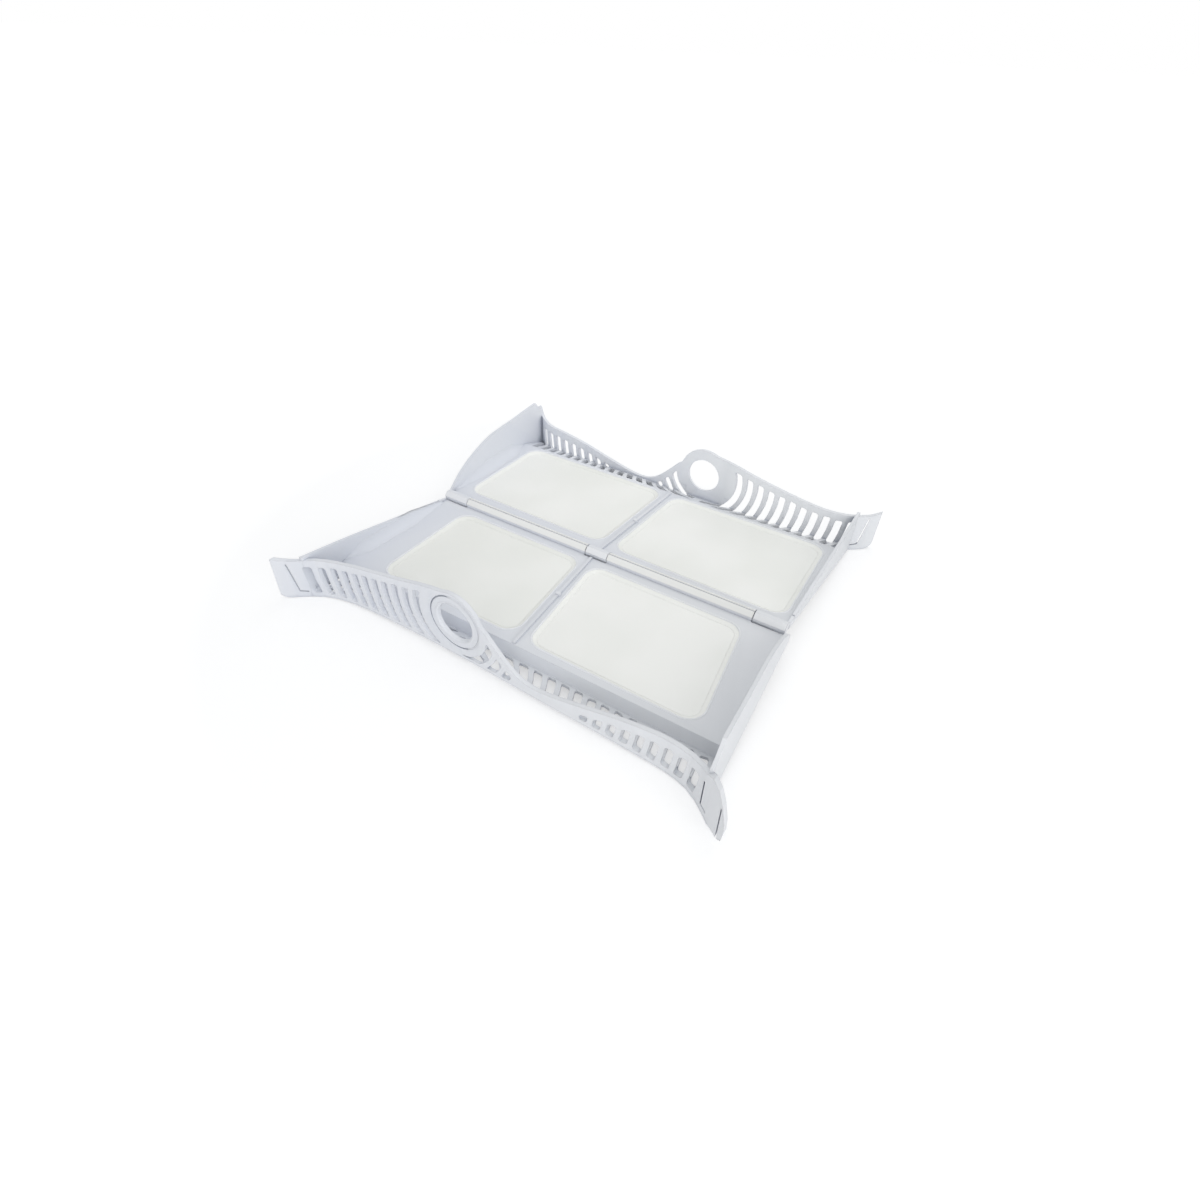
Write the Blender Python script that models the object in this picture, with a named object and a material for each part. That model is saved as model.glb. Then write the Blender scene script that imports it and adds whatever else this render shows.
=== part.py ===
"""Tumble-dryer lint filter that opens like a book, modelled open and flat.

Two moulded leaves are joined by one hinge along X. Each leaf is a floor with two
gauze windows, two side walls and a curved front wall cut as a grille, with a finger
ring. A point of a leaf is (u, q, z): u along the hinge, q away from the hinge and z
up from the floor's upper face. The far leaf is the near one turned half round.
Lengths are in metres.
"""

import math

import bmesh
import bpy
from mathutils import Matrix

# Leaf
HALF_LENGTH = 0.130  # hinge length is twice this
WALL_DISTANCE = 0.114  # hinge axis to the middle of the front wall
FLOOR_THICKNESS = 0.0025
RIDGE_DISTANCE = 0.099  # where the floor ends and the header begins
SHELF_THICKNESS = 0.002

# Front wall
WALL_THICKNESS = 0.0026
WALL_SET_IN = 0.0004  # middle of the wall inside its plan line
BOTTOM_DEPTH = 0.0125  # lower edge below the floor's upper face, at the corners
BOTTOM_BOW = 0.0022  # how much higher that edge is in the middle
RIM_RISE = 0.0344  # what the shares of the rim's height refer to
WING_CORNER_RADIUS = 0.005

# Finger ring
RING_OFFSET = 0.021  # from the leaf's middle, towards its tall end
RING_HEIGHT = 0.0147
RING_HEAD_RADIUS = 0.0198
FINGER_RADIUS = 0.0123
FINGER_CHAMFER = 0.0007
GROOVE_RADIUS = 0.0173
GROOVE_WIDTH = 0.0008
GROOVE_DEPTH = 0.0009

# Grille
SLOT_WIDTH = 0.0048
TALL_SLOT_RADIUS = 0.0286  # first slot of the tall end, about the ring's centre
TALL_SLOT_PITCH = 0.0082
LOW_SLOT_RADIUS = 0.0251  # first slot of the low end
LOW_SLOT_PITCH = 0.00788
SLOT_CORNER = 0.0009  # rounding of a slot's corners
RIM_BAND = 0.0042
LOW_RIM_BAND = 0.0052  # the wider band on the low end
BOTTOM_BAND = 0.0024
HOLE_MARGIN = 0.0010  # solid strip of the header before its holes
CORNER_MARGIN = 0.0014  # solid strip between a hole and a wall with no slot
RING_WEB = 0.003  # solid web of the header under the ring
SHORTEST_SLOT = 0.0030

# Side walls
SIDE_THICKNESS = 0.002
TALL_SIDE_SPLAY = 0.004  # sideways shift over the wall's length
LOW_SIDE_SPLAY = 0.005
SIDE_NEST_CLEARANCE = 0.0015  # between the nested side walls when folded
TALL_SIDE_RISE = 0.017
LOW_SIDE_RISE = 0.0285
SIDE_NOTCH_DISTANCE = 0.0125
SIDE_NOTCH_WIDTH = 0.0009
SIDE_NOTCH_DEPTH = 0.0022

# Wing slits
SLIT_WIDTH = 0.0007

# Windows and gauze
WINDOW_RADIUS = 0.0105
SCREEN_LAP = 0.0016
SCREEN_THICKNESS = 0.0006
SCREEN_RECESS = 0.0015  # floor's upper face down to the seat of the gauze
SEAT_CLEARANCE = 0.0003

# Middle rib
RIB_WIDTH = 0.002
RIB_HEIGHT = 0.0012
RIB_PIP_RADIUS = 0.0017
RIB_PIP_HEIGHT = 0.002
RIB_PIP_DISTANCE = 0.049

# Hinge
BARREL_RADIUS = 0.0042
AXIS_RISE = 0.0008  # hinge axis above the floor's upper face
FLOOR_SETBACK = 0.0052  # floor's edge from the hinge axis
END_KNUCKLE_LENGTH = 0.020
MIDDLE_KNUCKLE_LENGTH = 0.016
KNUCKLE_CLEARANCE = 0.0004
PIN_RADIUS = 0.0016
PIN_LENGTH = 0.005
PIN_CLEARANCE = 0.00025
BORE_DEPTH = 0.006

# Building helpers
OVERRUN = 0.02  # how far a cutter or a blank runs past what it trims
JOIN = 0.0006  # how far one shape runs into the next before they are joined
WELD = 0.000001
ROUND_SIDES = 24
BARREL_SIDES = 20
CURVE_STEPS = 44
RIM_STEPS = 84
CAP_STEPS = 4
SCAN_STEPS = 240
ARC_STEP = math.radians(9)

# Plan of the front wall: (share of half length, share of wall distance)
WALL_PLAN_SHARES = (
    (-1.130, 1.188),
    (-1.040, 1.099),
    (-0.950, 1.042),
    (-0.820, 1.010),
    (-0.600, 1.000),
    (-0.200, 1.003),
    (0.300, 1.022),
    (0.700, 1.031),
    (0.900, 1.042),
    (1.000, 1.077),
    (1.100, 1.163),
    (1.178, 1.255),
)
# Rim of the front wall without the ring's head: (share of half length, share of rim rise)
RIM_SHARES = (
    (-1.130, 0.497),
    (-1.080, 0.440),
    (-1.000, 0.448),
    (-0.860, 0.497),
    (-0.735, 0.571),
    (-0.480, 0.752),
    (-0.350, 0.868),
    (-0.240, 0.940),
    (-0.170, 0.925),
    (0.000, 0.537),
    (0.073, 0.253),
    (0.144, 0.008),
    (0.210, -0.100),
    (0.310, -0.095),
    (0.490, 0.052),
    (0.660, 0.212),
    (0.830, 0.321),
    (0.954, 0.355),
    (1.050, 0.430),
)
# Round end of the low wing: the same shares, from the rim down to the lower edge
LOW_WING_SHARES = (
    (1.085, 0.540),
    (1.120, 0.535),
    (1.150, 0.430),
    (1.172, 0.260),
    (1.178, 0.090),
    (1.172, -0.100),
    (1.150, -0.230),
    (1.100, -0.340),
)
# Side walls' upper edges: (share of wall distance, share of that wall's rise)
TALL_SIDE_SHARES = ((0.040, 0.060), (0.500, 0.500), (0.800, 0.790), (1.060, 1.000))
LOW_SIDE_SHARES = (
    (0.040, 0.060),
    (0.130, 0.340),
    (0.240, 0.570),
    (0.370, 0.760),
    (0.500, 0.880),
    (0.740, 0.930),
    (1.000, 1.000),
    (1.055, 0.970),
    (1.090, 0.680),
    (1.150, 0.640),
)
# Wing slits: (share of half length, share of rim rise), an L on each wing and a straight one
TALL_SLIT_SHARES = ((-1.083, 0.374), (-1.061, -0.223), (-1.029, -0.242))
LOW_SLIT_SHARES = ((1.047, 0.253), (1.049, -0.234), (1.081, -0.230))
END_SLIT_SHARES = ((1.145, 0.380), (1.150, -0.280))


class Leaf:
    """What differs between the two leaves."""

    def __init__(self, name, windows, header, knuckles, holds_pins):
        self.name = name
        self.windows = windows
        self.header = header
        self.knuckles = knuckles
        self.holds_pins = holds_pins


def knuckle_ranges():
    """The long barrels and the short ones, as (low, high) along the hinge."""
    half_middle = MIDDLE_KNUCKLE_LENGTH / 2
    end = HALF_LENGTH - END_KNUCKLE_LENGTH
    gap = KNUCKLE_CLEARANCE
    long_ones = (
        (-end + gap, -half_middle - gap),
        (half_middle + gap, end - gap),
    )
    short_ones = (
        (-HALF_LENGTH, -end),
        (-half_middle, half_middle),
        (end, HALF_LENGTH),
    )
    return long_ones, short_ones


LONG_KNUCKLES, SHORT_KNUCKLES = knuckle_ranges()

# Windows: corners as (share of half length, share of wall distance), from the hinge edge
NEAR_WINDOW_SHARES = (
    ((-0.048, 0.094), (-0.818, 0.092), (-0.808, 0.811), (0.007, 0.811)),
    ((0.014, 0.092), (0.077, 0.820), (0.912, 0.825), (0.831, 0.105)),
)
FAR_WINDOW_SHARES = (
    ((-0.017, 0.105), (-0.963, 0.088), (-0.954, 0.847), (-0.051, 0.851)),
    ((0.055, 0.113), (0.016, 0.853), (0.955, 0.853), (0.955, 0.123)),
)
# Header section beyond the ridge: (distance past the ridge, depth below the floor's face)
NEAR_STEP_LENGTH = 0.0022
NEAR_STEP_DEPTH = 0.0075
FAR_SLOPE_DEPTH = 0.005


def spline_value(points, at):
    """A smooth line through points that rise in x, straight beyond its ends."""
    last = len(points) - 1
    slopes = []
    for i in range(last + 1):
        before = points[max(i - 1, 0)]
        after = points[min(i + 1, last)]
        slopes.append((after[1] - before[1]) / (after[0] - before[0]))
    if at <= points[0][0]:
        return points[0][1] + slopes[0] * (at - points[0][0])
    if at >= points[last][0]:
        return points[last][1] + slopes[last] * (at - points[last][0])
    i = max(k for k in range(last) if points[k][0] <= at)
    span = points[i + 1][0] - points[i][0]
    t = (at - points[i][0]) / span
    bend = 3 * t * t - 2 * t * t * t
    level = points[i][1] * (1 - bend) + points[i + 1][1] * bend
    start = slopes[i] * span * (t * t * t - 2 * t * t + t)
    finish = slopes[i + 1] * span * (t * t * t - t * t)
    return level + start + finish


def scaled(shares, across, along):
    return [(a * across, b * along) for a, b in shares]


def evenly(low, high, count):
    return [low + (high - low) * i / count for i in range(count + 1)]


WALL_PLAN = scaled(WALL_PLAN_SHARES, HALF_LENGTH, WALL_DISTANCE)
RIM_LINE = scaled(RIM_SHARES, HALF_LENGTH, RIM_RISE)
LOW_WING = scaled(LOW_WING_SHARES, HALF_LENGTH, RIM_RISE)
RING_U = -RING_OFFSET


def wall_distance(u):
    """Middle of the front wall's thickness."""
    return spline_value(WALL_PLAN, u) - WALL_SET_IN


def wall_slope(u):
    return (wall_distance(u + JOIN) - wall_distance(u - JOIN)) / (2 * JOIN)


def rim_height(u):
    """Upper edge of the front wall: the rim line, with the ring's round head on it."""
    height = spline_value(RIM_LINE, u)
    across = u - RING_U
    if abs(across) < RING_HEAD_RADIUS:
        head = RING_HEIGHT + math.sqrt(RING_HEAD_RADIUS**2 - across**2)
        height = max(height, head)
    return height


def bottom_height(u):
    """Lower edge of the front wall, a shallow arch between the corners."""
    share = min(abs(u) / HALF_LENGTH, 1)
    return BOTTOM_BOW * (1 - share**2) - BOTTOM_DEPTH


def offset_wall(u, offset):
    """A point beside the front wall's plan line, square to it and outward."""
    slope = wall_slope(u)
    size = math.hypot(1, slope)
    return (u - offset * slope / size, wall_distance(u) + offset / size)


def tall_side(q, offset):
    """Line of the tall end's side wall: offset 0 is its outer face."""
    return -(HALF_LENGTH + TALL_SIDE_SPLAY * q / WALL_DISTANCE - offset)


def low_side(q, offset):
    """Line of the low end's side wall: offset 0 is its inner face, outside the other leaf's."""
    inner = HALF_LENGTH + SIDE_NEST_CLEARANCE
    return inner + LOW_SIDE_SPLAY * q / WALL_DISTANCE + offset


def rounded(corners, radius, steps=CAP_STEPS):
    """The outline with each corner replaced by an arc of the given radius."""
    result = []
    count = len(corners)
    for i, (x, y) in enumerate(corners):
        before = corners[i - 1]
        after = corners[(i + 1) % count]
        a = math.atan2(before[1] - y, before[0] - x)
        b = math.atan2(after[1] - y, after[0] - x)
        turn = (b - a + math.pi) % (2 * math.pi) - math.pi
        half = abs(turn) / 2
        reach = radius / math.tan(half)
        middle = a + turn / 2
        centre_x = x + radius / math.sin(half) * math.cos(middle)
        centre_y = y + radius / math.sin(half) * math.sin(middle)
        start = math.atan2(y + reach * math.sin(a) - centre_y, x + reach * math.cos(a) - centre_x)
        finish = math.atan2(y + reach * math.sin(b) - centre_y, x + reach * math.cos(b) - centre_x)
        sweep = (finish - start + math.pi) % (2 * math.pi) - math.pi
        for angle in evenly(start, start + sweep, steps):
            result.append((centre_x + radius * math.cos(angle), centre_y + radius * math.sin(angle)))
    return result


def arc_band(centre, outer, inner):
    """A slot's outline between two arcs, each (radius, first angle, last angle)."""
    sides = []
    for radius, first, last in (outer, inner):
        inset = SLOT_CORNER / radius
        steps = max(2, math.ceil((last - first) / ARC_STEP))
        angles = evenly(first + inset, last - inset, steps)
        sides.append([polar(centre, radius, angle) for angle in angles])
    corners = []
    for angle_index in (2, 1):
        outer_corner = polar(centre, outer[0], outer[angle_index])
        inner_corner = polar(centre, inner[0], inner[angle_index])
        span = math.dist(outer_corner, inner_corner)
        share = SLOT_CORNER / span
        near_outer = between(outer_corner, inner_corner, share)
        near_inner = between(inner_corner, outer_corner, share)
        corners.append((near_outer, near_inner))
    last_end = corners[0]
    first_end = corners[1]
    outline = sides[0] + [last_end[0], last_end[1]]
    outline += sides[1][::-1] + [first_end[1], first_end[0]]
    return outline


def between(start, finish, share):
    return tuple(a + (b - a) * share for a, b in zip(start, finish))


def polar(centre, radius, angle):
    return (centre[0] + radius * math.cos(angle), centre[1] + radius * math.sin(angle))


def band(line, width):
    """An outline of the given width along an open line of straight runs."""
    half = width / 2
    sides = ([], [])
    for i, (x, y) in enumerate(line):
        before = line[max(i - 1, 0)]
        after = line[min(i + 1, len(line) - 1)]
        into = (x - before[0], y - before[1]) if i else (after[0] - x, after[1] - y)
        out = (after[0] - x, after[1] - y) if i < len(line) - 1 else into
        a = math.atan2(into[1], into[0])
        b = math.atan2(out[1], out[0])
        turn = (b - a + math.pi) % (2 * math.pi) - math.pi
        reach = half / math.cos(turn / 2)
        normal = a + turn / 2 + math.pi / 2
        sides[0].append((x + reach * math.cos(normal), y + reach * math.sin(normal)))
        sides[1].append((x - reach * math.cos(normal), y - reach * math.sin(normal)))
    return sides[0] + sides[1][::-1]


PLAN = Matrix(((1, 0, 0, 0), (0, -1, 0, 0), (0, 0, -1, 0), (0, 0, 0, 1)))
ELEVATION = Matrix(((1, 0, 0, 0), (0, 0, -1, 0), (0, 1, 0, 0), (0, 0, 0, 1)))
SECTION = Matrix(((0, 0, -1, 0), (-1, 0, 0, 0), (0, 1, 0, 0), (0, 0, 0, 1)))


def prism_mesh(name, outlines, view):
    """A mesh of flat outlines given thickness, each as (points, low, high) in that view.

    Plan points are (u, q) with low and high in z; elevation points are (u, z) with low
    and high in q; section points are (q, z) with low and high in u.
    """
    joined = bmesh.new()
    for points, low, high in outlines:
        curve = bpy.data.curves.new(name, "CURVE")
        curve.dimensions = "2D"
        curve.fill_mode = "BOTH"
        curve.extrude = (high - low) / 2
        spline = curve.splines.new("POLY")
        spline.points.add(len(points) - 1)
        for point, (x, y) in zip(spline.points, points):
            point.co = (x, y, 0, 1)
        spline.use_cyclic_u = True
        middle = (low + high) / 2
        if view is not ELEVATION:
            middle = -middle
        guide = bpy.data.objects.new(name, curve)
        bpy.context.scene.collection.objects.link(guide)
        mesh = bpy.data.meshes.new_from_object(
            guide.evaluated_get(bpy.context.evaluated_depsgraph_get())
        )
        mesh.transform(view @ Matrix.Translation((0, 0, middle)))
        joined.from_mesh(mesh)
        bpy.data.meshes.remove(mesh)
        bpy.data.objects.remove(guide)
        bpy.data.curves.remove(curve)
    bmesh.ops.remove_doubles(joined, verts=joined.verts, dist=WELD)
    bmesh.ops.dissolve_limit(
        joined, angle_limit=math.radians(0.01), verts=joined.verts, edges=joined.edges
    )
    bmesh.ops.recalc_face_normals(joined, faces=joined.faces)
    result = bpy.data.meshes.new(name)
    joined.to_mesh(result)
    joined.free()
    return result


def helper(name, mesh):
    """A shape that trims or joins another one, and is not itself part of the filter."""
    shape = bpy.data.objects.new(name, mesh)
    shape.hide_render = True
    shape.display_type = "WIRE"
    cutters.objects.link(shape)
    return shape


def prism(name, outlines, view):
    return helper(name, prism_mesh(name, outlines, view))


def combine(target, operation, other):
    modifier = target.modifiers.new(other.name, "BOOLEAN")
    modifier.operation = operation
    modifier.solver = "EXACT"
    modifier.object = other


def cylinder(name, radius, low, high, sides=ROUND_SIDES, end_radius=None):
    """A cylinder or a cone along X, on the hinge's line, from low to high."""
    shape = bmesh.new()
    bmesh.ops.create_cone(
        shape,
        cap_ends=True,
        segments=sides,
        radius1=radius,
        radius2=radius if end_radius is None else end_radius,
        depth=high - low,
    )
    turn = Matrix.Rotation(math.pi / 2, 4, "Y")
    place = Matrix.Translation(((low + high) / 2, 0, 0))
    bmesh.ops.transform(shape, matrix=place @ turn, verts=shape.verts)
    mesh = bpy.data.meshes.new(name)
    shape.to_mesh(mesh)
    shape.free()
    return mesh


def wall_ends():
    return WALL_PLAN[0][0], WALL_PLAN[-1][0]


def front_wall(leaf):
    """The curved wall: its plan drawn up and trimmed to its elevation."""
    low, high = wall_ends()
    line = evenly(low - JOIN, high + JOIN, CURVE_STEPS)
    half = WALL_THICKNESS / 2
    plan = [offset_wall(u, half) for u in line]
    plan += [offset_wall(u, -half) for u in reversed(line)]
    foot = -BOTTOM_DEPTH - OVERRUN
    wall = prism(leaf.name + "_wall", [(plan, foot, RIM_RISE + OVERRUN)], PLAN)

    corner = low + WING_CORNER_RADIUS
    rim = [(u, rim_height(u)) for u in evenly(low, RIM_LINE[-1][0], RIM_STEPS)]
    lower = [(u, bottom_height(u)) for u in evenly(LOW_WING[-1][0] - JOIN, corner, CURVE_STEPS)]
    bottom = bottom_height(low)
    centre = (corner, bottom + WING_CORNER_RADIUS)
    turned = [
        polar(centre, WING_CORNER_RADIUS, angle)
        for angle in evenly(-math.pi / 2, -math.pi, CAP_STEPS)
    ]
    elevation = rim + LOW_WING + lower[:-1] + turned
    near = min(q for u, q in WALL_PLAN) - OVERRUN
    far = max(q for u, q in WALL_PLAN) + OVERRUN
    outline = prism(leaf.name + "_wall_outline", [(elevation, near, far)], ELEVATION)
    combine(wall, "INTERSECT", outline)
    return wall


def floor_outline(leaf):
    """Plan of the floor and header, with a tongue out to each knuckle."""
    inset = SIDE_THICKNESS / 2
    edge = [(tall_side(FLOOR_SETBACK, inset), FLOOR_SETBACK)]
    for low, high in leaf.knuckles:
        low = max(low, edge[0][0])
        edge += [(low, FLOOR_SETBACK), (low, 0), (high, 0), (high, FLOOR_SETBACK)]
    if leaf.holds_pins:
        edge = edge[2:]
    edge.append((low_side(FLOOR_SETBACK, inset), FLOOR_SETBACK))
    front = []
    for u in evenly(HALF_LENGTH, -HALF_LENGTH, CURVE_STEPS):
        front.append(offset_wall(u, 0))
    first = (low_side(front[0][1], inset), front[0][1])
    last = (tall_side(front[-1][1], inset), front[-1][1])
    return edge + [first] + front[1:-1] + [last]


def header_section(leaf):
    """Section of floor and header, upper side first: (q, z) points."""
    end = max(q for u, q in WALL_PLAN)
    upper = [(-OVERRUN, 0), (RIDGE_DISTANCE, 0)]
    upper += [(RIDGE_DISTANCE + step, -depth) for step, depth in leaf.header]
    foot, depth = upper[-1]
    slope = (depth - upper[-2][1]) / (foot - upper[-2][0])
    if slope < -1:
        slope = 0
    upper.append((end, depth + slope * (end - foot)))
    lower = [(end, upper[-1][1] - SHELF_THICKNESS)]
    if len(leaf.header) == 1 and leaf.header[0][0] < leaf.header[0][1]:
        lower.append((RIDGE_DISTANCE, -leaf.header[0][1] - SHELF_THICKNESS))
        lower.append((RIDGE_DISTANCE - SHELF_THICKNESS, -FLOOR_THICKNESS))
    else:
        lower.append((RIDGE_DISTANCE, -FLOOR_THICKNESS))
    lower.append((-OVERRUN, -FLOOR_THICKNESS))
    return upper + lower


def shelf_depth(leaf, q):
    """Depth of the header's upper face below the floor's, at a distance from the hinge."""
    foot = RIDGE_DISTANCE + leaf.header[-1][0]
    depth = leaf.header[-1][1]
    if q >= foot and leaf.header[0][0] < leaf.header[0][1]:
        return depth
    return depth * (q - RIDGE_DISTANCE) / (foot - RIDGE_DISTANCE)


def floor(leaf):
    reach = HALF_LENGTH + OVERRUN
    body = prism(leaf.name + "_floor", [(header_section(leaf), -reach, reach)], SECTION)
    depth = BOTTOM_DEPTH + OVERRUN
    plan = prism(leaf.name + "_floor_plan", [(floor_outline(leaf), -depth, OVERRUN)], PLAN)
    combine(body, "INTERSECT", plan)
    return body


def side_top(shares, rise, q):
    line = scaled(shares, WALL_DISTANCE, rise)
    return spline_value(line, q)


def side_wall(leaf, name, line, shares, rise, end_u):
    """A side wall: a strip between two lines in plan, trimmed to its upper and lower edges."""
    start = FLOOR_SETBACK
    end = wall_distance(end_u) + JOIN
    plan = [
        (line(start, 0), start),
        (line(end, 0), end),
        (line(end, SIDE_THICKNESS), end),
        (line(start, SIDE_THICKNESS), start),
    ]
    foot = -BOTTOM_DEPTH - OVERRUN
    wall = prism(leaf.name + name, [(plan, foot, rise + OVERRUN)], PLAN)
    top = scaled(shares, WALL_DISTANCE, rise)
    distances = [q for q in evenly(start - JOIN, end + JOIN, CURVE_STEPS // 2)]
    edge = [(q, spline_value(top, q)) for q in distances]
    lower = [
        (end + JOIN, bottom_height(end_u) + JOIN),
        (start - JOIN, -FLOOR_THICKNESS - JOIN),
    ]
    reach = HALF_LENGTH + 2 * OVERRUN
    outline = prism(leaf.name + name + "_outline", [(edge + lower, -reach, reach)], SECTION)
    combine(wall, "INTERSECT", outline)
    return wall


def clear_arc(centre, radius, angles, allowed):
    """The first unbroken run of angles where allowed(point) holds, as (radius, low, high)."""
    run = []
    for angle in angles:
        if allowed(polar(centre, radius, angle)):
            run.append(angle)
        elif run:
            break
    if not run or (run[-1] - run[0]) * radius < SHORTEST_SLOT:
        return None
    return radius, run[0], run[-1]


def clear_band(centre, radius, angles, allowed):
    """Outline of a slot on a circle, with its ends along the edge of what is allowed."""
    half = SLOT_WIDTH / 2
    outer = clear_arc(centre, radius + half, angles, allowed)
    middle = clear_arc(centre, radius, angles, allowed)
    inner = clear_arc(centre, radius - half, angles, allowed)
    if outer is None or middle is None or inner is None:
        return None
    return arc_band(centre, outer, inner)


def slot_radii(first, pitch):
    radius = first
    while radius < 2 * HALF_LENGTH:
        yield radius
        radius += pitch


def in_wall(point):
    """Whether a slot may reach this point of the wall's elevation."""
    u, z = point
    if not -HALF_LENGTH - SLOT_WIDTH < u < HALF_LENGTH + SLOT_WIDTH / 2:
        return False
    slope = (rim_height(u + JOIN) - rim_height(u - JOIN)) / (2 * JOIN)
    band_here = RIM_BAND * math.hypot(1, slope)
    if u > LOW_SLOT_RADIUS:
        band_here = LOW_RIM_BAND
    return bottom_height(u) + BOTTOM_BAND < z < rim_height(u) - band_here


def families():
    """Both families of concentric slots, with the angles swept from below the ring's centre."""
    low_sweep = evenly(-math.pi / 2, math.pi / 2, SCAN_STEPS)
    tall_sweep = evenly(math.pi / 2, 3 * math.pi / 2, SCAN_STEPS)
    yield TALL_SLOT_RADIUS, TALL_SLOT_PITCH, tall_sweep
    yield LOW_SLOT_RADIUS, LOW_SLOT_PITCH, low_sweep


def wall_slots():
    """Outlines of the front wall's slots, with the distances that their cutters span."""
    centre = (RING_U, RING_HEIGHT)
    outlines = []
    for first, pitch, sweep in families():
        for radius in slot_radii(first, pitch):
            points = clear_band(centre, radius, sweep, in_wall)
            if points is None:
                continue
            middle = [wall_distance(u) for u, z in points]
            outlines.append((points, min(middle) - WALL_THICKNESS, max(middle) + WALL_THICKNESS))
    return outlines


def header_holes(leaf):
    """Outlines of the holes that carry the wall's slots round the corner into the header."""
    corner = wall_distance(RING_U) - WALL_THICKNESS / 2
    depth = shelf_depth(leaf, corner)
    centre = (RING_U, corner + RING_HEIGHT + depth)
    start = RIDGE_DISTANCE + HOLE_MARGIN
    if leaf.header[0][0] < leaf.header[0][1]:
        start += leaf.header[0][0]
    wall_level = BOTTOM_BAND - BOTTOM_DEPTH + BOTTOM_BOW + SLOT_WIDTH / 2

    def in_header(point):
        u, q = point
        if not tall_side(q, SIDE_THICKNESS) < u < low_side(q, 0):
            return False
        if abs(u - RING_U) < RING_WEB:
            return False
        end = wall_distance(u) - WALL_THICKNESS / 2
        slotted = in_wall((u, wall_level)) and in_wall((u, wall_level + SLOT_WIDTH / 2))
        end += JOIN if slotted else -CORNER_MARGIN
        return start < q < end

    outlines = []
    top = -depth + SHELF_THICKNESS + SLOT_WIDTH
    for first, pitch, sweep in families():
        for radius in slot_radii(first, pitch):
            points = clear_band(centre, radius, [-angle for angle in reversed(sweep)], in_header)
            if points is None:
                continue
            outlines.append((points, -BOTTOM_DEPTH - OVERRUN, top))
    return outlines


def ring_frame():
    """Frame on the front wall at the ring's centre, Z out of the wall and square to it."""
    upright = Matrix.Rotation(math.pi / 2, 4, "X")
    turn = Matrix.Rotation(-math.atan(wall_slope(RING_U)), 4, "Z")
    place = Matrix.Translation((RING_U, -wall_distance(RING_U), RING_HEIGHT))
    return place @ turn @ upright


def ring_cutters(leaf):
    """The finger hole, the chamfer at its outer edge, and the round groove about it."""
    half = WALL_THICKNESS / 2
    frame = ring_frame()
    shapes = []
    sizes = (
        ("_finger_hole", FINGER_RADIUS, FINGER_RADIUS, -OVERRUN, OVERRUN),
        ("_finger_chamfer", FINGER_RADIUS, FINGER_RADIUS + 2 * FINGER_CHAMFER, half - FINGER_CHAMFER, half + FINGER_CHAMFER),
    )
    for name, radius, end_radius, low, high in sizes:
        mesh = cylinder(leaf.name + name, radius, low, high, 2 * ROUND_SIDES, end_radius)
        mesh.transform(frame @ Matrix.Rotation(-math.pi / 2, 4, "Y"))
        shapes.append(helper(leaf.name + name, mesh))
    inner = GROOVE_RADIUS - GROOVE_WIDTH / 2
    outer = GROOVE_RADIUS + GROOVE_WIDTH / 2
    low = half - GROOVE_DEPTH
    high = half + GROOVE_DEPTH
    turned = bmesh.new()
    corners = [(outer, 0, high), (outer, 0, low), (inner, 0, low), (inner, 0, high)]
    profile = [turned.verts.new(corner) for corner in corners]
    profile.append(profile[0])
    edges = [turned.edges.new(pair) for pair in zip(profile, profile[1:])]
    bmesh.ops.spin(
        turned,
        geom=profile[1:] + edges,
        cent=(0, 0, 0),
        axis=(0, 0, 1),
        angle=2 * math.pi,
        steps=2 * ROUND_SIDES,
        use_merge=True,
    )
    bmesh.ops.remove_doubles(turned, verts=turned.verts, dist=WELD)
    bmesh.ops.recalc_face_normals(turned, faces=turned.faces)
    mesh = bpy.data.meshes.new(leaf.name + "_groove")
    turned.to_mesh(mesh)
    turned.free()
    groove = helper(leaf.name + "_groove", mesh)
    groove.matrix_world = frame
    shapes.append(groove)
    return shapes


def slit_cutters():
    """Outlines of the thin slits that free the wings' tongues."""
    outlines = []
    for shares in (TALL_SLIT_SHARES, LOW_SLIT_SHARES, END_SLIT_SHARES):
        line = scaled(shares, HALF_LENGTH, RIM_RISE)
        distances = [wall_distance(u) for u, z in line]
        points = band(line, SLIT_WIDTH)
        outlines.append((points, min(distances) - WALL_THICKNESS, max(distances) + OVERRUN))
    return outlines


def window_outlines(leaf, lap):
    """Outlines of the windows, grown by lap."""
    outlines = []
    for corners in leaf.windows:
        points = scaled(corners, HALF_LENGTH, WALL_DISTANCE)
        middle_u = sum(u for u, q in points) / len(points)
        middle_q = sum(q for u, q in points) / len(points)
        grown = []
        for u, q in points:
            grown.append((u + math.copysign(lap, u - middle_u), q + math.copysign(lap, q - middle_q)))
        outlines.append(rounded(grown, WINDOW_RADIUS + lap))
    return outlines


def hinge_barrels(leaf):
    """Own knuckles as (name, mesh) pairs, with pins on the leaf that holds them."""
    shapes = []
    for i, (low, high) in enumerate(leaf.knuckles):
        shapes.append((f"_barrel_{i}", cylinder("barrel", BARREL_RADIUS, low, high, BARREL_SIDES)))
        if not leaf.holds_pins:
            continue
        reach = KNUCKLE_CLEARANCE + PIN_LENGTH
        start = low if low <= -HALF_LENGTH else low - reach
        end = high if high >= HALF_LENGTH else high + reach
        start = start + JOIN if low <= -HALF_LENGTH else start
        end = end - JOIN if high >= HALF_LENGTH else end
        shapes.append((f"_pin_{i}", cylinder("pin", PIN_RADIUS, start, end, BARREL_SIDES)))
    return shapes


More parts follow.
